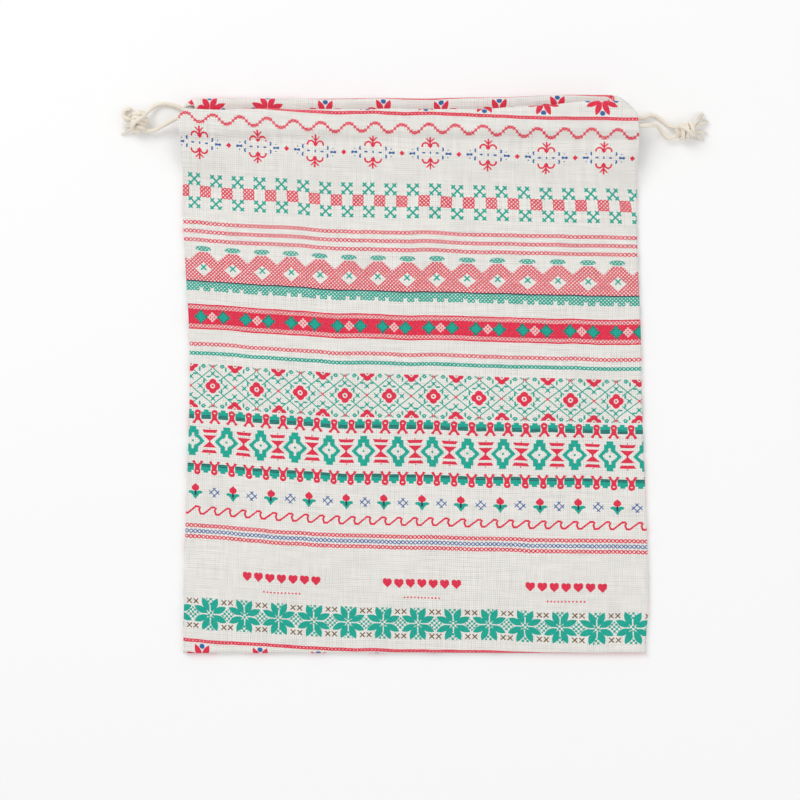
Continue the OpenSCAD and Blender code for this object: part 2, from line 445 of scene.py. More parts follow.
def snowflakes(x, y):
    pitch = 18.72
    across = x.tile(pitch, -110.8)
    ax = abs(across)
    ay = abs(y)
    high = ax | ay
    low = ax & ay
    petals = leaf(high, low, 25.0, 5.5, 4.1, 1.75) & ~low.near(0.0, 0.3)
    fine = 1.22
    dots = (x.snap(fine) + y.snap(fine)).tile(2 * fine).near(0.0, 0.3)
    heart = disc(across, y, 1.9)
    fans = (low < (high - 4.2) * 0.55) & (high < 8.6) & (ay > ax) & (high > 4.6)
    bx = x.tile(pitch, -110.8 + pitch / 2)
    diamond_dots = diamond(bx, y, 3.9, 3.6)
    marks = cross(abs(bx) - 1.8, ay - 6.6, 1.4, 0.44)
    return [(GREEN, petals | (dots & (heart | fans | diamond_dots))), (BROWN, marks)]


def wheels(x, y, start=-115.2, pitch=31.5):
    across = x.tile(pitch, start)
    ax = abs(across)
    ay = abs(y)
    high = ax | ay
    low = ax & ay
    petals = leaf(high, low, 24.0, 5.0, 4.3, 1.6)
    dots = disc(low, high - 7.5, 1.38)
    return [(RED, petals), (BLUE, dots)]


def wheels_above(x, y):
    """The row of wheels that the mouth cuts through."""
    return wheels(x, y, 68.7)


def hem_wheels(x, y):
    """The same row at the back's top fold."""
    return wheels(x, y, -111.0, 31.3)


# Each band: its name, its lowest and highest place on the cloth, the place of its middle, and what is printed
# there. 0 is the pouch's mid-height, and below PRINT_END the bands start again.
REPEAT = 310.4
PRINT_END = -167.6
BANDS = [
    ("wheels_above", 141.6, 168.0, 150.5, wheels_above),
    ("edge_chain", 138.3, 141.6, 140.3, edge_chain),
    ("wave", 128.4, 136.4, 132.4, wave),
    ("sprigs", 109.5, 128.4, 119.6, sprigs),
    ("crosses", 85.0, 104.0, 94.3, crosses),
    ("three_chains", 66.0, 80.0, 72.7, three_chains),
    ("scallops", 39.5, 65.6, 53.2, scallops),
    ("ribbon", 19.0, 34.0, 26.35, ribbon),
    ("two_chains", 4.5, 14.0, 9.05, two_chains),
    ("trellis", -22.9, 1.6, -10.8, trellis),
    ("figures", -32.0, -22.9, -27.5, figures),
    ("lanterns", -49.3, -32.0, -40.6, lanterns),
    ("figures_down", -59.5, -49.3, -55.0, figures_down),
    ("tulips", -73.5, -62.5, -68.2, tulips),
    ("breakers", -82.0, -73.5, -78.1, breakers),
    ("flag_chains", -94.5, -84.0, -89.4, flag_chains),
    ("heart_groups", -121.5, -105.5, -115.0, heart_groups),
    ("snowflakes", -143.5, -121.5, -133.6, snowflakes),
    ("bottom_chain", -150.0, -146.8, -148.4, edge_chain),
    ("wheels", PRINT_END, -150.0, -158.7, wheels),
]
HEM_BAND = ("hem_wheels", PRINT_END, -150.0, -158.7, hem_wheels)


# ---- Smooth variation ----


def ease(t):
    """0 below 0, 1 above 1, and a smooth step between."""
    t = np.clip(t, 0.0, 1.0)
    return t * t * (3.0 - 2.0 * t)


def through(value, points):
    """A smooth line through a few (place, height) points."""
    places = [place for place, _ in points]
    heights = [height for _, height in points]
    step = np.interp(value, places, np.arange(len(points), dtype=float))
    low = np.clip(np.floor(step).astype(int), 0, len(points) - 2)
    part = ease(step - low)
    heights = np.array(heights)
    return heights[low] * (1.0 - part) + heights[low + 1] * part


def swell(x, y, wavelength, seed, count=7):
    """Gentle random relief, mostly between -1 and 1."""
    draw = np.random.RandomState(seed)
    total = np.zeros(np.broadcast(x, y).shape)
    for _ in range(count):
        angle = draw.uniform(0.0, math.pi)
        turns = 2.0 * math.pi / (wavelength * draw.uniform(0.7, 1.5))
        phase = draw.uniform(0.0, 2.0 * math.pi)
        total = total + np.sin((x * math.cos(angle) + y * math.sin(angle)) * turns + phase)
    return total / math.sqrt(count)


# ---- How the cloth lies. One strip goes up the front, round the bottom and up the back. ----
# Its place along the strip, t, is the height y on the flat of the front, and falls without a break round the
# bottom fold and up the back to the back's hem.

HALF_W = (MOUTH_W + BASE_W) / 4
FLAT_LOW = BOTTOM_Y + FOLD_R
T_BOTTOM = FLAT_LOW - FOLD_R * math.pi / 2
T_BACK = T_BOTTOM - FOLD_R * math.pi / 2
FRONT_STITCH_Y = FRONT_TOP_Y - CASING_D
BACK_STITCH_Y = BACK_TOP_Y - CASING_D
SEAM_Z = 1.4
ROLL_W = 2.2
HEM_INSET = 7.5
FRONT_DROP = 1.6

# How far the sides stand out from the straight line between the corners, by height
LEFT_SWAY = [(-150, 0.0), (-120, 0.2), (3, 2.6), (100, -1.9), (126, -2.2), (138, -3.4), (150, -1.8)]
RIGHT_SWAY = [(-150, -0.6), (-120, 1.2), (3, -1.8), (85, -3.7), (125, -3.6), (137, -4.2), (150, -5.8)]
# How far the print slants on the front. HEM_DRIFT and FOLD_PRINT place it at the back's top fold.
SLANT, SLANT_CURVE = 0.0371, -0.000108
HEM_DRIFT = [(-124, -3.4), (-80, -3.2), (-48, -0.6), (45, 0.3), (77, 0.4), (98, 1.0), (124, 2.6)]
FOLD_PRINT = -147.0
# How the lines of print dip on the front, and how far the print is stretched towards the right edge
SLANT_DIP = [(-124, 0.2), (-85, 0.6), (-46, 1.1), (-16, 0.5), (15, 0.0), (124, 0.0)]
STRETCH = [(-130, 0.0), (15, 0.0), (45, 1.1), (75, 2.2), (106, 3.5), (130, 4.5)]


def sides(y):
    """The pouch's left and right edges at a height."""
    half = (MOUTH_W + (BASE_W - MOUTH_W) * (BACK_TOP_Y - y) / (BACK_TOP_Y - BOTTOM_Y)) / 2
    return -half + through(y, LEFT_SWAY), half + through(y, RIGHT_SWAY)


def across(column, y, inset=0.0):
    """Where a column of the cloth is at a height, and how far in from the edge. A column is its nominal x."""
    left, right = sides(y)
    share = column / HALF_W
    half = (right - left) / 2
    x = (left + right) / 2 + share * (half - inset)
    return x, (1.0 - np.abs(share)) * half


def corner(column, left_r, right_r):
    """How far the top fold drops as it goes round the corners."""
    drop = 0.0
    for radius, gap in ((left_r, column + HALF_W), (right_r, HALF_W - column)):
        short = np.clip(radius - gap, 0.0, radius)
        drop = drop + radius - np.sqrt(radius * radius - short * short)
    return drop


def front_top(column):
    rise = 1.6 * ease((column - 25.0) / 60.0) + 2.6 * ease((column - 68.0) / 32.0)
    return FRONT_TOP_Y - FRONT_DROP + rise + 0.35 * swell(column, 0.0, 45.0, 11) - corner(column, 3.0, 7.0)


def back_top(column):
    rise = 0.7 * ease((column + 20.0) / 100.0) + 1.2 * ease((column - 40.0) / 60.0)
    return BACK_TOP_Y + 0.1 + rise + 0.2 * swell(column, 0.0, 60.0, 12) - corner(column, 3.5, 8.0)


def rolled(z, y, inward):
    """The cloth curls down to the side seam, below the slit where the cords come out."""
    closed = 1.0 - ease((y - SLIT_Y + 16.0) / 18.0)
    short = 1.0 - np.clip(inward / ROLL_W, 0.0, 1.0)
    return z - closed * (z - SEAM_Z) * (1.0 - np.sqrt(1.0 - short * short))


def puckers(column, y, stitch_y, depth, seed):
    """The small gathers along a hem's stitch line."""
    fade = np.exp(-np.abs(y - stitch_y) / 16.0)
    return depth * fade * swell(column, y * 0.12, 15.0, seed, 9)


def front_height(column, y, inward):
    """The outside of the front, where it is flat, and of its casing."""
    air = 3.6 * ease(inward / 60.0) * ease((y - FLAT_LOW) / 50.0)
    stitch_z = FRONT_HEM_Z + 2 * CLOTH_T
    lift = ease((y - FRONT_STITCH_Y + 30.0) / 25.0)
    body = (2 * FOLD_R + air) * (1.0 - lift) + stitch_z * lift
    loose = ease((inward - 1.0) / 14.0) * ease((y - FLAT_LOW) / 10.0)
    body = body + loose * (0.62 * swell(column, y, 64.0, 21) + 0.16 * swell(column, y, 23.0, 22))
    swelled = 1.0 - (1.0 - np.clip((y - FRONT_STITCH_Y) / 4.5, 0.0, 1.0)) ** 2
    body = body + (2 * HEM_R - 2 * CLOTH_T) * swelled
    return body + puckers(column, y, FRONT_STITCH_Y, 0.42, 23) * loose


def lay_front(t, column):
    """A place on the strip's outside, from the bottom fold up the front and down inside its hem."""
    flat_end = front_top(column) - HEM_R
    turn = np.clip((t - flat_end) / HEM_R, 0.0, math.pi)
    down = np.maximum(t - flat_end - HEM_R * math.pi, 0.0)
    start = np.clip((FLAT_LOW - t) / FOLD_R, 0.0, math.pi / 2)
    y = np.clip(t, FLAT_LOW, flat_end) + HEM_R * np.sin(turn) - down - FOLD_R * np.sin(start)
    x, inward = across(column, y, HEM_INSET * ease(turn / math.pi))
    outer = rolled(front_height(column, y, inward), y, inward)
    outer = np.where(start > 0, FOLD_R + (outer - FOLD_R) * np.cos(start), outer)
    edge = FRONT_HEM_Z + 2 * HEM_R + puckers(column, flat_end, FRONT_STITCH_Y, 0.3, 23)
    share = (1.0 + np.cos(turn)) / 2
    tucked = FRONT_HEM_Z - 1.0 * ease((FRONT_STITCH_Y + 1.0 - y) / HEM_TAIL)
    z = np.where(turn > 0, tucked * (1.0 - share) + edge * share, outer)
    settle = ease((t - flat_end + 8.0) / 8.0)
    z = np.where(turn > 0, z, outer * (1.0 - settle) + edge * settle)
    return np.stack(np.broadcast_arrays(x, y, z), axis=-1)


def lay_back(t, column):
    """A place on the strip's outside, from the bottom fold up the back and down inside its hem."""
    rise = T_BACK - t
    start = np.clip(-rise / FOLD_R, 0.0, math.pi / 2)
    flat = back_top(column) - HEM_R - FLAT_LOW
    turn = np.clip((rise - flat) / HEM_R, 0.0, math.pi)
    down = np.maximum(rise - flat - HEM_R * math.pi, 0.0)
    y = FLAT_LOW + np.clip(rise, 0.0, flat) + HEM_R * np.sin(turn) - down - FOLD_R * np.sin(start)
    x, inward = across(column, y, HEM_INSET * ease(turn / math.pi))
    waves = np.maximum(1.0 + swell(column, y, 70.0, 31), 0.0)
    resting = 0.12 * waves * ease(inward / 10.0) * ease(rise / 10.0)
    outer = rolled(resting, y, inward) + FOLD_R * (1.0 - np.cos(start))
    swelled = 1.0 - (1.0 - np.clip((y - BACK_STITCH_Y) / 4.5, 0.0, 1.0)) ** 2
    hem = 2 * CLOTH_T + (2 * HEM_R - 2 * CLOTH_T) * swelled + puckers(column, y, BACK_STITCH_Y, 0.2, 33)
    share = (1.0 - np.cos(turn)) / 2
    z = np.where(turn > 0, outer * (1.0 - share) + hem * share, outer)
    return np.stack(np.broadcast_arrays(x, y, z), axis=-1)


def slant(column):
    """How far the lines of print are from level at a column of the front."""
    return SLANT * column + SLANT_CURVE * column * column + through(column, SLANT_DIP)


T_BACK_FOLD = T_BACK - (BACK_TOP_Y - HEM_R - FLAT_LOW) - HEM_R * math.pi / 2


def hem_offset(column):
    """From a place on the strip to its line of print, at the back's top fold."""
    return FOLD_PRINT - REPEAT - T_BACK_FOLD + through(column, HEM_DRIFT)


def print_line(t, column):
    """The line of print at a place on the strip."""
    share = np.clip((T_BOTTOM - t) / (T_BOTTOM - T_BACK_FOLD), 0.0, 1.0)
    return t + slant(column) * (1.0 - share) + hem_offset(column) * share


def printed_x(x, y):
    """The place across the print at a place on the pouch."""
    return x - through(x, STRETCH) * ease((112.0 - y) / 30.0)


def strip_place(line, column):
    """The place on the strip where a line of print crosses a column."""
    front = line - slant(column)
    grow = (hem_offset(column) - slant(column)) / (T_BOTTOM - T_BACK_FOLD)
    back = (front - grow * T_BOTTOM) / (1.0 - grow)
    far = line - hem_offset(column)
    return np.where(front >= T_BOTTOM, front, np.where(back >= T_BACK_FOLD, back, far))


# ---- Meshes ----


def new_object(name, vertices, faces):
    """An object from millimetre points."""
    mesh = bpy.data.meshes.new(name)
    mesh.from_pydata((np.asarray(vertices) * MM).tolist(), [], faces)
    made = bpy.data.objects.new(name, mesh)
    bpy.context.collection.objects.link(made)
    return made


def closed_sheet(name, outer, inner, skins=None, marks=None):
    """Two grids of points, a cloth's right and wrong sides, joined along their edges. skins gives each row of
    squares its material and its shift to the print, and marks each point's place on the print."""
    rows, columns = outer.shape[:2]
    count = rows * columns
    points = np.concatenate([outer.reshape(-1, 3), inner.reshape(-1, 3)])
    number = np.arange(count).reshape(rows, columns)
    faces = []
    looks = []
    for i in range(rows - 1):
        skin = skins[i] if skins else (0, 0.0)
        for j in range(columns - 1):
            square = (number[i, j], number[i, j + 1], number[i + 1, j + 1], number[i + 1, j])
            faces.append([int(n) for n in square])
            looks.append((skin[0], skin[1], True))
            faces.append([int(n) + count for n in reversed(square)])
            looks.append((-1, skin[1], True))
    for line in (number[0, ::-1], number[-1, :], number[:, 0], number[::-1, -1]):
        for a, b in zip(line[:-1], line[1:]):
            faces.append([int(a), int(b), int(b) + count, int(a) + count])
            looks.append((-1, 0.0, False))
    made = new_object(name, points, faces)
    mesh = made.data
    chart = mesh.uv_layers.new(name="cloth")
    marks = np.zeros((count, 2)) if marks is None else marks.reshape(-1, 2)
    last = max((look[0] for look in looks), default=0) + 1
    for face, (skin, shift, smooth) in zip(mesh.polygons, looks):
        face.use_smooth = smooth
        face.material_index = last if skin < 0 else skin
        for corner_index in face.loop_indices:
            x, y = marks[mesh.loops[corner_index].vertex_index % count]
            chart.data[corner_index].uv = (x * MM, (y + shift) * MM)
    work = bmesh.new()
    work.from_mesh(mesh)
    bmesh.ops.remove_doubles(work, verts=work.verts, dist=1e-7)
    bmesh.ops.dissolve_degenerate(work, edges=work.edges, dist=1e-7)
    for edge in work.edges:
        edge.smooth = all(face.smooth for face in edge.link_faces)
    work.to_mesh(mesh)
    work.free()
    return made


def band_at(line):
    """The band that a line of print is in, and how far its place there is from its own."""
    turns = 0 if line > PRINT_END else math.ceil((PRINT_END - line) / REPEAT)
    wrapped = line + turns * REPEAT
    for band in BANDS:
        if band[1] <= wrapped < band[2]:
            if band[0] == "wheels" and turns > 0:
                band = HEM_BAND
            return band, turns * REPEAT
    return None, turns * REPEAT


def print_rows(low, high, fine):
    """Lines of print from low to high: every band's edges, and steps between, short in the fine stretches."""
    edges = set()
    turns = 0
    while low < BANDS[0][1] - turns * REPEAT:
        for _, bottom, top, _, _ in BANDS:
            edges.update((bottom - turns * REPEAT, top - turns * REPEAT))
        turns += 1
    stops = sorted({low, high} | {edge for edge in edges if low < edge < high})
    lines = [low]
    for a, b in zip(stops[:-1], stops[1:]):
        short = any(start < (a + b) / 2 < end for start, end in fine)
        steps = max(1, math.ceil((b - a) / (0.8 if short else 2.2)))
        lines.extend(a + (b - a) * k / steps for k in range(1, steps + 1))
    return lines


def cloth_columns(low, high):
    """Columns across the cloth, closer together beside the seams."""
    near = [0.0, 0.2, 0.45, 0.8, 1.3, 2.0, 3.2, 5.0, 7.0]
    inner = HALF_W - 9.0
    spread = np.linspace(-inner, inner, 105)
    by_seams = {-HALF_W + gap for gap in near} | {HALF_W - gap for gap in near}
    whole = sorted(by_seams | set(spread) | {low, high})
    return np.array([column for column in whole if low <= column <= high])


def front_end(column):
    """The strip's raw end inside the front's hem."""
    flat_end = front_top(column) - HEM_R
    return 2 * flat_end + HEM_R * math.pi - FRONT_STITCH_Y + HEM_TAIL


def back_end(column):
    """The strip's raw end inside the back's hem."""
    flat_end = back_top(column) - HEM_R
    return T_BACK + FLAT_LOW - 2 * flat_end - HEM_R * math.pi + BACK_STITCH_Y - HEM_TAIL


def wrong_side(shape, t, column, outer):
    """The cloth's other side, its thickness in from the right side."""
    step = 0.15
    along = shape(t + step, column) - shape(t - step, column)
    right = shape(t, np.minimum(column + step, HALF_W))
    left = shape(t, np.maximum(column - step, -HALF_W))
    normal = np.cross(right - left, along)
    normal = normal / np.maximum(np.linalg.norm(normal, axis=-1, keepdims=True), 1e-9)
    return outer - normal * CLOTH_T


def cloth_piece(name, low, high, on_front):
    """A piece of the printed strip, on the front or the back, with its columns from low to high."""
    columns = cloth_columns(low, high)
    bottom = np.full(columns.shape, T_BOTTOM)
    t_low, t_high = (bottom, front_end(columns)) if on_front else (back_end(columns), bottom)
    whole = np.linspace(-HALF_W, HALF_W, 60)
    limits = (T_BOTTOM, front_end(whole)) if on_front else (back_end(whole), T_BOTTOM)
    ends = np.concatenate([print_line(np.broadcast_to(limit, whole.shape), whole) for limit in limits])
    fine = [(T_BACK - 4, FLAT_LOW + 6), (133, 156), (T_BACK_FOLD - 14, T_BACK_FOLD + 6)]
    lines = print_rows(math.floor(ends.min()), math.ceil(ends.max()), fine)
    grid_line, grid_column = np.meshgrid(lines, columns, indexing="ij")
    t = np.clip(strip_place(grid_line, grid_column), t_low, t_high)
    shape = lay_front if on_front else lay_back
    outer = shape(t, grid_column)
    inner = wrong_side(shape, t, grid_column, outer)
    marks = np.stack([printed_x(outer[..., 0], outer[..., 1]), print_line(t, grid_column)], axis=-1)
    used = []
    skins = []
    for a, b in zip(lines[:-1], lines[1:]):
        band, shift = band_at((a + b) / 2)
        if band not in used:
            used.append(band)
        skins.append((used.index(band), shift))
    made = closed_sheet(name, outer, inner, skins, marks)
    for band in used:
        made.data.materials.append(printed_cloth(band))
    made.data.materials.append(inside_cloth())
    return made


# ---- Cloth materials ----


def new_material(name, roughness, sheen):
    """A fabric material, with the numbers that are the same all over set on its shader."""
    made = bpy.data.materials.new(name)
    made.use_nodes = True
    shader = made.node_tree.nodes["Principled BSDF"]
    shader.inputs["Roughness"].default_value = roughness
    shader.inputs["Sheen Weight"].default_value = sheen
    shader.inputs["Sheen Roughness"].default_value = 0.6
    shader.inputs["Specular IOR Level"].default_value = 0.1
    return made, made.node_tree, shader


def surface_place(tree, chart):
    """x and y on a chart, in millimetres."""
    marks = tree.nodes.new("ShaderNodeUVMap")
    marks.uv_map = chart
    parts = tree.nodes.new("ShaderNodeSeparateXYZ")
    tree.links.new(marks.outputs["UV"], parts.inputs["Vector"])
    return Field(tree, parts.outputs["X"]) * 1000.0, Field(tree, parts.outputs["Y"]) * 1000.0


def noise(x, y, detail=2.0):
    """Soft noise from 0 to 1 over two fields."""
    tree = x.tree
    place = tree.nodes.new("ShaderNodeCombineXYZ")
    tree.links.new(x.socket, place.inputs["X"])
    tree.links.new(y.socket, place.inputs["Y"])
    made = tree.nodes.new("ShaderNodeTexNoise")
    made.noise_dimensions = "2D"
    made.inputs["Scale"].default_value = 1.0
    made.inputs["Detail"].default_value = detail
    tree.links.new(place.outputs["Vector"], made.inputs["Vector"])
    return Field(tree, made.outputs["Fac"])


def blended(tree, share, low, high):
    """A colour from low to high; each is three numbers or a colour socket."""
    made = tree.nodes.new("ShaderNodeMix")
    made.data_type = "RGBA"
    tree.links.new(share.socket, made.inputs[0])
    for slot, colour in ((made.inputs[6], low), (made.inputs[7], high)):
        if isinstance(colour, tuple):
            slot.default_value = (*colour, 1.0)
        else:
            tree.links.new(colour, slot)
    return made.outputs[2]


def bumped(tree, shader, height, depth_mm, strength):
    """Relief from a height of 0 to 1."""
    made = tree.nodes.new("ShaderNodeBump")
    made.inputs["Strength"].default_value = strength
    made.inputs["Distance"].default_value = depth_mm * MM
    tree.links.new(height.socket, made.inputs["Height"])
    tree.links.new(made.outputs["Normal"], shader.inputs["Normal"])


WEAVE_PITCH = 0.98


def weave_group():
    """Plain weave: the open corners between threads (where the cloth colour is darkened, painted shade), the
    relief, and how each thread varies.
    """
    found = bpy.data.node_groups.get("plain_weave")
    if found:
        return found
    tree = bpy.data.node_groups.new("plain_weave", "ShaderNodeTree")
    for name in ("x", "y"):
        tree.interface.new_socket(name, in_out="INPUT", socket_type="NodeSocketFloat")
    for name in ("gap", "height", "tone"):
        tree.interface.new_socket(name, in_out="OUTPUT", socket_type="NodeSocketFloat")
    start = tree.nodes.new("NodeGroupInput")
    end = tree.nodes.new("NodeGroupOutput")
    x = Field(tree, start.outputs[0])
    y = Field(tree, start.outputs[1])
    sway = noise(x * 0.05, y * 0.05) * 2.2
    warp = ((x + sway) * (math.pi / WEAVE_PITCH)).sine()
    weft = ((y + sway) * (math.pi / WEAVE_PITCH)).sine()
    slub_x = noise(x * 1.02, y * 0.06)
    slub_y = noise(x * 0.05 + 40.0, y * 1.02)
    thick = slub_x * 0.5 + slub_y * 0.5
    closeness = abs(warp) | abs(weft)
    gap = ((closeness * -1.0 + 0.70 - (thick - 0.5) * 0.9) * 3.0).clipped()
    height = (abs(warp) + abs(weft)) * 0.36 + warp * weft * 0.28 + thick * 0.4
    patches = noise(x * 0.35, y * 0.35)
    tone = (slub_y - 0.5) * 0.16 + (slub_x - 0.5) * 0.12 + (patches - 0.5) * 0.05 + 1.0
    for value, slot in zip((gap, height, tone), end.inputs):
        tree.links.new(value.socket, slot)
    return tree


def woven(x, y):
    """The weave's gaps, relief and tone at a place."""
    tree = x.tree
    made = tree.nodes.new("ShaderNodeGroup")
    made.node_tree = weave_group()
    tree.links.new(x.socket, made.inputs[0])
    tree.links.new(y.socket, made.inputs[1])
    return [Field(tree, socket) for socket in made.outputs]


def dimmed(tree, colour, factor):
    """A colour multiplied by a field."""
    made = tree.nodes.new("ShaderNodeVectorMath")
    made.operation = "SCALE"
    tree.links.new(colour, made.inputs[0])
    tree.links.new(factor.socket, made.inputs["Scale"])
    return made.outputs[0]


def finish_cloth(tree, shader, colour, gap, height, tone):
    """Puts the weave's gaps, relief and tone over a colour, darkening it in the open corners between threads
    as painted shade.
    """
    colour = dimmed(tree, colour, tone * (gap * -0.40 + 1.0))
    tree.links.new(colour, shader.inputs["Base Color"])
    bumped(tree, shader, height, 0.16, 0.7)


def printed_cloth(band):
    """The right side of the cloth, with one band of the print."""
    name, _, _, middle, draw = band or ("plain", 0.0, 0.0, 0.0, None)
    found = bpy.data.materials.get("cloth_" + name)
    if found:
        return found
    made, tree, shader = new_material("cloth_" + name, 0.9, 0.04)
    x, y = surface_place(tree, "cloth")
    gap, height, tone = woven(x, y)
    # The bare cloth's colour, as a socket that inks can go over
    colour = blended(tree, gap, CLOTH, CLOTH)
    if draw:
        blot = noise(x * 1.7, y * 1.7)
        cover = (gap * -0.10 + 1.0 - (blot - 0.5).at_least(0.0) * 0.4).clipped()
        ragged_x = (noise(x * 1.1, y * 1.1) - 0.5) * 0.35
        ragged_y = (noise(x * 1.1 + 30.0, y * 1.1) - 0.5) * 0.35
        sway_x = (noise(x * 0.02, y * 0.05) - 0.5) * 1.6
        sway_y = (noise(x * 0.035, y * 0.01) - 0.5) * 1.8
        for ink, mask in draw(x + ragged_x + sway_x, y - middle + ragged_y + sway_y):
            colour = blended(tree, mask * cover, colour, ink)
    finish_cloth(tree, shader, colour, gap, height, tone)
    return made


def inside_cloth():
    """The cloth's wrong side."""
    found = bpy.data.materials.get("cloth_wrong_side")
    if found:
        return found
    made, tree, shader = new_material("cloth_wrong_side", 0.92, 0.08)
    x, y = surface_place(tree, "cloth")
    gap, height, tone = woven(x, y)
    colour = blended(tree, noise(x * 0.2, y * 0.2), CLOTH, (0.80, 0.77, 0.72))
    finish_cloth(tree, shader, colour, gap, height, tone)
    return made


def yarn(name, light, dark, twist, depth):
    """Spun cotton: slanting fibres round the strand, over a chart of turns by length; painted shade darkens
    the grooves.
    """
    made, tree, shader = new_material(name, 0.88, 0.15)
    around, along = surface_place(tree, "strand")
    fibres = noise(around * 0.02 + along * twist, along * 0.5 - around * 0.004, 3.0)
    strands = (around * (2 * math.pi * 0.006) + along * (2 * math.pi / 2.6)).sine()
    height = strands * 0.25 + fibres
    # The colour follows the relief: lighter on the fibres and strands that stand up, darker in the grooves
    # between them, which is painted shade.
    colour = blended(tree, ((fibres - 0.35) * 2.2 + strands * 0.15).clipped(), dark, light)
    tree.links.new(colour, shader.inputs["Base Color"])
    bumped(tree, shader, height, depth, 0.8)
    return made


# ---- Strands ----


def smooth_path(points, step=0.6):
    """A smooth line through the points, with its own points a step apart."""
    points = np.array(points, float)
    padded = np.concatenate([[2 * points[0] - points[1]], points, [2 * points[-1] - points[-2]]])
    line = []
    for a, b, c, d in zip(padded[:-3], padded[1:-2], padded[2:-1], padded[3:]):
        for t in np.linspace(0.0, 1.0, 24, endpoint=False):
            bend = (2 * a - 5 * b + 4 * c - d) * t * t + (3 * b - a - 3 * c + d) * t**3
            line.append(b + ((c - a) * t + bend) / 2)
    line.append(points[-1])
    line = np.array(line)
    run = np.concatenate([[0.0], np.cumsum(np.linalg.norm(np.diff(line, axis=0), axis=1))])
    places = np.linspace(0.0, run[-1], max(4, round(run[-1] / step) + 1))
    return np.stack([np.interp(places, run, line[:, axis]) for axis in range(3)], axis=-1)


def tubes(name, paths, radius, corners=10, plies=0, relief=0.0, lay_mm=9.0, taper=0.0):
    """Round strands along the paths, as one mesh. Plies twist round the strand once every lay_mm."""
    points = []
    faces = []
    chart = []
    for path in paths:
        tangent = np.gradient(path, axis=0)
        tangent = tangent / np.linalg.norm(tangent, axis=1, keepdims=True)
        seed = np.array([0.0, 0.0, 1.0]) if abs(tangent[0][2]) < 0.9 else np.array([1.0, 0.0, 0.0])
        side = np.cross(tangent[0], seed)
        run = np.concatenate([[0.0], np.cumsum(np.linalg.norm(np.diff(path, axis=0), axis=1))])
        first = len(points)
        for i, (place, ahead) in enumerate(zip(path, tangent)):
            side = side - ahead * side.dot(ahead)
            side = side / np.linalg.norm(side)
            up = np.cross(ahead, side)
            thin = 1.0 - taper * i / (len(path) - 1)
            for k in range(corners):
                angle = 2 * math.pi * k / corners
                swirl = math.cos(plies * (angle - 2 * math.pi * run[i] / lay_mm)) if plies else 0.0
                reach = radius * thin * (1.0 - relief + relief * swirl)
                points.append(place + reach * (side * math.cos(angle) + up * math.sin(angle)))
        for i in range(len(path) - 1):
            for k in range(corners):
                a = first + i * corners
                n = (k + 1) % corners
                faces.append([a + k, a + n, a + corners + n, a + corners + k])
                chart.append([(k, run[i]), (k + 1, run[i]), (k + 1, run[i + 1]), (k, run[i + 1])])
        end = len(points) - corners
        faces.append([first + k for k in reversed(range(corners))])
        chart.append([(k, 0.0) for k in reversed(range(corners))])
        faces.append([end + k for k in range(corners)])
        chart.append([(k, run[-1]) for k in range(corners)])
    made = new_object(name, points, faces)
    layer = made.data.uv_layers.new(name="strand")
    for face, marks in zip(made.data.polygons, chart):
        face.use_smooth = len(marks) == 4
        for index, (turn, length) in zip(face.loop_indices, marks):
            layer.data[index].uv = (turn / corners, length * MM)
    return made


def dressed(piece, material, body=None, replaced=()):
    """Gives a piece its material and slot, and its body where it rides on just one."""
    if material:
        piece.data.materials.append(material)
    if body:
        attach(piece, body)
    if replaced:
        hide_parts(*replaced)
    return piece


# ---- Camera: straight above, as in the photograph ----

camera = bpy.data.objects.new("camera", bpy.data.cameras.new("camera"))
bpy.context.collection.objects.link(camera)
camera.data.lens = 85.0
camera.data.sensor_width = 36.0
camera.location = (-0.0081, -0.0130, 1.024)
bpy.context.scene.camera = camera


# ---- Cords ----

COTTON = yarn("cotton_cord", (0.98, 0.92, 0.82), (0.92, 0.83, 0.70), 0.42, 0.30)
FRAYED = yarn("frayed_cotton", (0.98, 0.94, 0.86), (0.93, 0.86, 0.75), 0.20, 0.10)
THREAD = yarn("sewing_thread", (0.86, 0.84, 0.80), (0.70, 0.68, 0.63), 1.5, 0.04)
HIDDEN_X = 112.0
RUN_END_X = 60.0
CASING_ENDS = (-HIDDEN_X, -FRONT_CUT, FRONT_CUT, HIDDEN_X)

# Each cord's place in the two casings, as y and z, and the routes of its free strands and curled tail
LEFT_BACK_AT = (143.5, 2.4)
LEFT_FRONT_AT = (138.0, 12.0)
RIGHT_BACK_AT = (139.5, 2.4)
RIGHT_FRONT_AT = (134.0, 12.0)
LEFT_UPPER = [
    (-124, 143.5, 2.4), (-128, 145.5, 2.2), (-133, 147, 1.8),
    (-138, 147, 1.8), (-142, 145, 2.5), (-146, 141, 4.5),
]
LEFT_LOWER = [
    (-124.3, 138, 12), (-128, 138, 11), (-132.5, 136.5, 7),
    (-137, 134.5, 4.5), (-141, 132.5, 4), (-146, 132.5, 4.5),
]
RIGHT_UPPER = [
    (124, 139.5, 2.4), (126.8, 141, 2.2), (130.5, 140.6, 1.8),
    (134.3, 137.8, 2), (138, 135, 3), (142, 134, 5),
]
RIGHT_LOWER = [
    (124.3, 134, 12), (127, 134.5, 10.5), (130.5, 134.5, 7),
    (133.5, 131.5, 5), (136.5, 128.5, 4), (141, 129.5, 4),
]
LEFT_CURLED = [(-151, 139, 5), (-155, 139, 3.5), (-157.5, 140.5, 2), (-157, 143.5, 1.8), (-153.5, 144.5, 1.8)]
LEFT_KNOT = (-149.0, 137.0, 5.0)
RIGHT_KNOT = (146.0, 132.0, 5.0)


def cord_tube(name, paths):
    """Cords of three plies along the paths."""
    return tubes(name, paths, CORD_D / 2, corners=14, plies=3, relief=0.07, lay_mm=7.5)


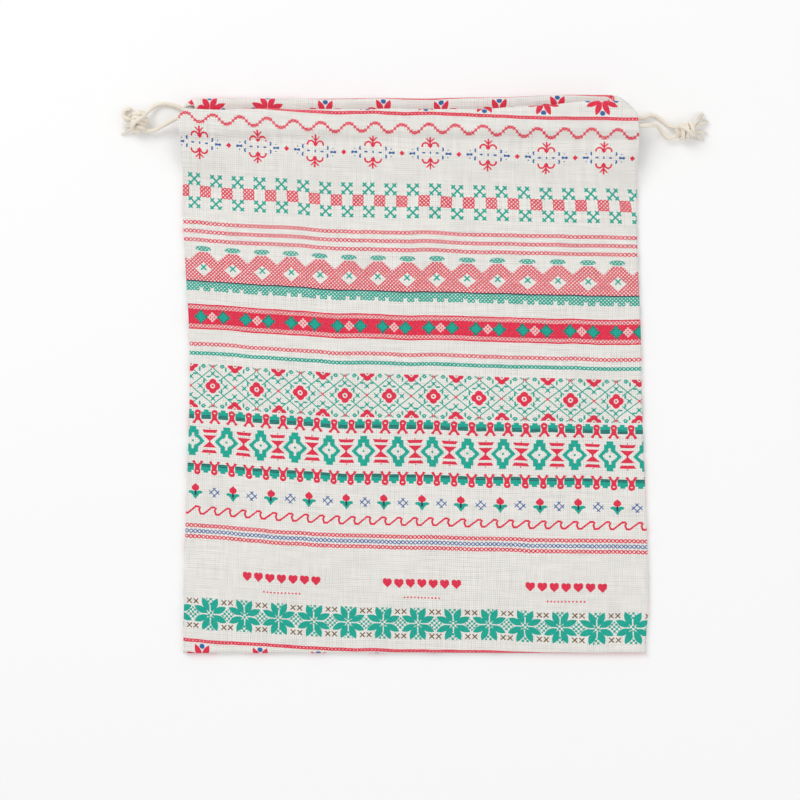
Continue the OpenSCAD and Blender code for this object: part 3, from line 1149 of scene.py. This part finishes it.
def free_strand(name, route, knot_entry, blended_from, pieces):
    """One strand from inside its casing to its knot."""
    body = name.split("_")[0] + "_cord"
    side = math.copysign(1.0, route[0][0])
    hidden = [(side * HIDDEN_X, *route[0][1:]), (side * (HIDDEN_X + 6.0), *route[0][1:])]
    path = smooth_path(hidden + route + [knot_entry])
    piece = cord_tube(name + "_strand", [path])
    dressed(piece, COTTON, None if blended_from else body, [name + "_end"])
    if blended_from:
        route[0][0] * MM
        route[-1][0] * MM
        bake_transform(piece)
    [value * MM for value in route[0]]


def knot(name, centre, heading, turns, half_length, reach, body, node, phase=0.0):
    """An overhand knot in the doubled cord: wraps round the two strands, and a bight drawn over them."""
    axis = np.array([math.cos(heading), math.sin(heading), 0.0])
    side = np.array([-math.sin(heading), math.cos(heading), 0.0])
    up = np.array([0.0, 0.0, 1.0])
    centre = np.array(centre)
    wraps = []
    for t in np.linspace(0.0, 1.0, 90):
        angle = 2 * math.pi * turns * t + phase
        tuck = 0.25 + 0.75 * float(ease(min(t, 1.0 - t) / 0.1))
        radius = reach * tuck * (1.0 + 0.06 * math.sin(9.0 * t + phase))
        lean = 0.9 * math.sin(angle + 0.6)
        along = (2 * t - 1) * half_length + lean
        wraps.append(centre + axis * along + (side * math.cos(angle) + up * math.sin(angle) * 0.92) * radius)
    over = [
        (-1.5, 0.9, -0.9),
        (-1.15, 2.6, 1.2),
        (-0.45, 1.4, reach + 1.1),
        (0.35, -0.9, reach + 1.3),
        (1.0, -2.6, 1.7),
        (1.45, -0.6, -1.0),
    ]
    bight = [centre + axis * a * half_length + side * b + up * c for a, b, c in over]
    cores = []
    for offset in (-1.25, 1.25):
        core = []
        for a in (-1.7, -0.6, 0.6, 1.7):
            core.append(centre + axis * a * half_length + side * offset * (1.0 - 0.3 * abs(a)))
        cores.append(smooth_path(core))
    paths = [smooth_path(wraps, 0.5), smooth_path(bight, 0.5)] + cores
    return dressed(cord_tube(name, paths), COTTON, body, [node])


def fray(name, tufts, body, node, seed, thickness=0.3):
    """Loose yarns at a cut end. Each tuft is a root, a tip, how far its tips spread, and a count."""
    draw = np.random.RandomState(seed)
    paths = []
    for root, tip, spread, count in tufts:
        root = np.array(root, float)
        tip = np.array(tip, float)
        for _ in range(count):
            start = root + draw.uniform(-0.7, 0.7, 3)
            end = tip + draw.uniform(-1.0, 1.0, 3) * (spread, spread, 0.7)
            end[2] = max(end[2], thickness + 0.1)
            middle = (start + end) / 2 + draw.uniform(-0.6, 0.6, 3)
            middle[2] = max(middle[2], thickness + 0.1)
            paths.append(smooth_path([start, middle, end], 0.8))
    made = tubes(name, paths, thickness, corners=6, taper=0.35)
    return dressed(made, FRAYED, body, [node])


def turn_tube(name, back_at, front_at, side, nodes):
    """Where the other cord turns at this side, from the back's casing round into the front's."""
    left, right = sides(np.array(back_at[0]))
    turn_x = (float(right) if side > 0 else -float(left)) - 8.0
    middle = np.array([0.0, (back_at[0] + front_at[0]) / 2, (back_at[1] + front_at[1]) / 2])
    rise = np.array([0.0, (front_at[0] - back_at[0]) / 2, (front_at[1] - back_at[1]) / 2])
    reach = float(np.linalg.norm(rise))
    points = [(side * (RUN_END_X + 0.5), *back_at), (side * (turn_x - 6.0), *back_at)]
    for angle in np.linspace(-90.0, 90.0, 9):
        a = math.radians(angle)
        out = turn_x + reach * math.cos(a)
        points.append(tuple(middle + rise * math.sin(a) + np.array([side * out, 0.0, 0.0])))
    points.append((side * (turn_x - 3.0), *front_at))
    path = smooth_path(points, 0.9)
    dressed(cord_tube(name, [path]), COTTON, "back", nodes)


def casing_runs(cord_name, back_at, front_at, side):
    """The cord in the two casings. The back run slides with the cord; the front one is cut in three, and its
    middle rides on the front.
    """
    back_path = np.array([(side * x, *back_at) for x in np.linspace(HIDDEN_X, -RUN_END_X, 90)])
    back_run = cord_tube(cord_name + "_back_casing_run", [back_path])
    dressed(back_run, COTTON, cord_name + "_cord", [cord_name + "_back_run"])
    names = ("left", "middle", "right")
    for name, low, high in zip(names, CASING_ENDS[:-1], CASING_ENDS[1:]):
        path = np.array([(x, *front_at) for x in np.linspace(low, high, 40)])
        run = cord_tube(f"{cord_name}_front_casing_run_{name}", [path])
        dressed(run, COTTON, None, [cord_name + "_front_run"])
        bend_with_front(run, name)


def bend_with_front(piece, part):
    """The front lifts in the middle of the mouth: the middle piece rides on the front, and the side pieces
    are baked in place with no body.
    """
    if part == "middle":
        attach(piece, "front")
        return
    side = -1.0 if part == "left" else 1.0
    side * 0.122
    side * 0.025
    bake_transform(piece)


left_knot = knot("left_knot_wraps", LEFT_KNOT, 1.35, 3.3, 3.6, 3.5, "left_cord", "left_knot", 0.8)
left_curl = cord_tube("left_curled_end", [smooth_path(LEFT_CURLED)])
dressed(left_curl, COTTON, "left_cord", ["left_curled_tail"])
LEFT_TUFTS = [
    ((-151, 134, 4.5), (-157.5, 131.5, 0.8), 1.6, 12),
    ((-151, 136, 5.0), (-157.0, 135.0, 2.5), 1.3, 8),
    ((-150, 140, 5.5), (-154.5, 140.2, 6.0), 0.8, 6),
    ((-147, 140, 6.5), (-144.2, 138.8, 5.5), 0.7, 4),
    ((-148, 133, 5.5), (-144.5, 131.0, 2.5), 0.9, 5),
]
left_tuft = fray("left_frayed_end", LEFT_TUFTS, "left_cord", "left_frayed_tail", 41)
right_knot = knot("right_knot_wraps", RIGHT_KNOT, 0.12, 2.4, 3.1, 3.6, "right_cord", "right_knot", 0.2)
RIGHT_TUFTS = [
    ((149, 134, 5.5), (155.5, 141.5, 1.6), 1.3, 22),
    ((149.5, 133.5, 5.0), (158.0, 137.6, 1.4), 1.1, 18),
]
RIGHT_SHORT_TUFTS = [
    ((150, 131.5, 4.5), (157.8, 131.6, 1.2), 0.7, 9),
    ((150, 131.0, 4.2), (156.2, 128.0, 0.9), 0.6, 8),
    ((149.5, 130.8, 4.0), (152.6, 128.2, 0.9), 0.5, 6),
]
right_tuft = fray("right_long_frayed_end", RIGHT_TUFTS, "right_cord", "right_long_tail", 42)
right_stubs = fray("right_short_frayed_end", RIGHT_SHORT_TUFTS, "right_cord", "right_short_tail", 43)

# Each free strand: its name, its route, where it enters the knot, a body named when its casing end isn't to
# ride on the cord (that strand is left with no body), and the pieces on it
STRANDS = [
    ("left_upper", LEFT_UPPER, (-148.5, 138.8, 5.2), None, [left_knot, left_curl]),
    ("left_lower", LEFT_LOWER, (-148.8, 134.8, 5.2), "back", [left_tuft]),
    ("right_upper", RIGHT_UPPER, (145.0, 133.2, 5.2), None, [right_knot, right_tuft]),
    ("right_lower", RIGHT_LOWER, (144.5, 131.0, 5.0), "back", [right_stubs]),
]
for strand in STRANDS:
    free_strand(*strand)
turn_tube("right_turn", LEFT_BACK_AT, LEFT_FRONT_AT, 1.0, ["right_turn_back", "right_turn_front"])
turn_tube("left_turn", RIGHT_BACK_AT, RIGHT_FRONT_AT, -1.0, ["left_turn_back", "left_turn_front"])
casing_runs("left", LEFT_BACK_AT, LEFT_FRONT_AT, -1.0)
casing_runs("right", RIGHT_BACK_AT, RIGHT_FRONT_AT, 1.0)


# ---- Seams and stitches ----

STITCH_L = 3.0


def stitches(name, place, low, high):
    """A row of stitches lying on the cloth. place(column) is the cloth's surface."""
    paths = []
    for k in range(int((high - low) / STITCH_L)):
        start = low + k * STITCH_L
        columns = np.linspace(start + 0.25, start + STITCH_L - 0.25, 6)
        points = place(columns)
        points[:, 2] += np.array([-0.20, 0.08, 0.16, 0.16, 0.08, -0.20])
        paths.append(points)
    made = tubes(name, paths, 0.2, corners=6)
    made.data.materials.append(THREAD)
    return made


def front_stitch_place(columns):
    return lay_front(np.full(columns.shape, FRONT_STITCH_Y), columns)


def back_stitch_place(columns):
    flat_end = back_top(columns) - HEM_R
    t = T_BACK + FLAT_LOW - 2 * flat_end - HEM_R * math.pi + BACK_STITCH_Y
    return lay_back(t, columns)


def allowance_edge(side, y, inset):
    left, right = sides(y)
    wave = 0.35 * swell(y, 0.0, 28.0, 51 if side < 0 else 52)
    return (left + inset + wave) if side < 0 else (right - inset - wave)


def seam(side_name, side):
    """Inside one side: the two layers' allowances, the overlocked edge and the row of stitches."""
    y = np.linspace(BOTTOM_Y + 3.0, SLIT_Y, 110)
    insets = np.array([0.8, 2.0, 4.0, 6.0, 8.0, SEAM_W])
    grid_y, grid_inset = np.meshgrid(y, insets, indexing="ij")
    x = allowance_edge(side, grid_y, grid_inset)
    plies = []
    for level in (0.75, 1.45):
        z = level + 0.06 * swell(grid_y, grid_inset, 20.0, 53)
        low = np.stack([x, grid_y, z], axis=-1)
        high = np.stack([x, grid_y, z + 0.55], axis=-1)
        outer, inner = (high, low) if side < 0 else (high[:, ::-1], low[:, ::-1])
        ply = closed_sheet(f"{side_name}_allowance_{len(plies)}", outer, inner)
        ply.data.materials.append(inside_cloth())
        ply.data.materials.append(inside_cloth())
        chart = ply.data.uv_layers["cloth"]
        for loop in ply.data.loops:
            chart.data[loop.index].uv = ply.data.vertices[loop.vertex_index].co.xy
        plies.append(dressed(ply, None, "back", [side_name + "_seam_allowance"]))
    length = SLIT_Y - BOTTOM_Y - 8.0
    turns = int(length / 2.4)
    angle = np.linspace(0.0, 2 * math.pi * turns, turns * 12 + 1)
    loop_y = BOTTOM_Y + 4.0 + length * angle / angle[-1]
    loop_x = allowance_edge(side, loop_y, SEAM_W - 0.9 + 1.7 * np.cos(angle))
    loop_z = 1.38 + 0.86 * np.sin(angle)
    edge = tubes(side_name + "_overlock", [np.stack([loop_x, loop_y, loop_z], axis=-1)], 0.18, corners=5)
    plies.append(dressed(edge, THREAD, "back", [side_name + "_overlock_thread"]))

    def seam_place(places):
        return np.stack([allowance_edge(side, places, 1.6), places, np.full(places.shape, 2.05)], axis=-1)

    row = stitches(side_name + "_seam_stitches", seam_place, BOTTOM_Y + 4.0, SLIT_Y - 3.5)
    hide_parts(side_name + "_seam_thread")
    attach(row, "back")
    plies.append(row)
    return plies


inside_pieces = seam("left", -1.0) + seam("right", 1.0)
back_row = stitches("back_hem_stitches", back_stitch_place, -111.0, 111.0)
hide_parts("back_hem_thread")
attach(back_row, "back")
inside_pieces.append(back_row)


# ---- The cloth ----

STRIP_FRONT = FRONT_TOP_Y - FRONT_DROP + HEM_R * (math.pi - 1) + CASING_D + HEM_TAIL - T_BOTTOM
STRIP_BACK = BACK_TOP_Y + HEM_R * (math.pi - 1) + CASING_D + HEM_TAIL - FLAT_LOW + FOLD_R * math.pi / 2

back_cloth = cloth_piece("back_cloth", -HALF_W, HALF_W, False)
dressed(back_cloth, None, "back", ["back_panel", "back_casing_hem", "bottom_fold"])
2 * HALF_W * MM
STRIP_BACK * MM

FRONT_PARTS = [
    ("left", -HALF_W, -FRONT_CUT),
    ("middle", -FRONT_CUT, FRONT_CUT),
    ("right", FRONT_CUT, HALF_W),
]
for part, low, high in FRONT_PARTS:
    front_cloth = cloth_piece("front_cloth_" + part, low, high, True)
    dressed(front_cloth, None, None, ["front_panel", "front_casing_hem"])
    bend_with_front(front_cloth, part)
    ends = (max(low, -117.0), min(high, 117.0))
    row = stitches("front_hem_stitches_" + part, front_stitch_place, *ends)
    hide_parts("front_hem_thread")
    bend_with_front(row, part)
    (high - low) * MM
    STRIP_FRONT * MM


# ---- Floor and light ----


def plain_floor():
    """A pale floor just under the pouch."""
    reach = 3000.0
    level = -0.1
    made = bpy.data.materials.new("pale_floor")
    made.use_nodes = True
    shader = made.node_tree.nodes["Principled BSDF"]
    shader.inputs["Base Color"].default_value = (0.99, 0.99, 0.99, 1.0)
    shader.inputs["Roughness"].default_value = 1.0
    shader.inputs["Specular IOR Level"].default_value = 0.0
    corners = [(-reach, -reach, level), (reach, -reach, level), (reach, reach, level), (-reach, reach, level)]
    floor = new_object("floor", corners, [[0, 1, 2, 3]])
    floor.data.materials.append(made)


def area_light(name, place, aim, size, power):
    lamp = bpy.data.lights.new(name, "AREA")
    lamp.size = size
    lamp.energy = power
    made = bpy.data.objects.new(name, lamp)
    made.location = place
    made.rotation_euler = (Vector(aim) - Vector(place)).to_track_quat("-Z", "Y").to_euler()
    bpy.context.collection.objects.link(made)


plain_floor()
area_light("key", (-1.0, 1.1, 1.5), (0.0, 0.0, 0.0), 1.2, 16.0)
area_light("fill", (1.3, -0.6, 1.6), (0.0, 0.0, 0.0), 1.6, 8.5)
world = bpy.data.worlds.new("studio")
world.use_nodes = True
world.node_tree.nodes["Background"].inputs["Color"].default_value = (1.0, 1.0, 1.0, 1.0)
world.node_tree.nodes["Background"].inputs["Strength"].default_value = 0.62
bpy.context.scene.world = world
bpy.context.scene.view_settings.view_transform = "Standard"
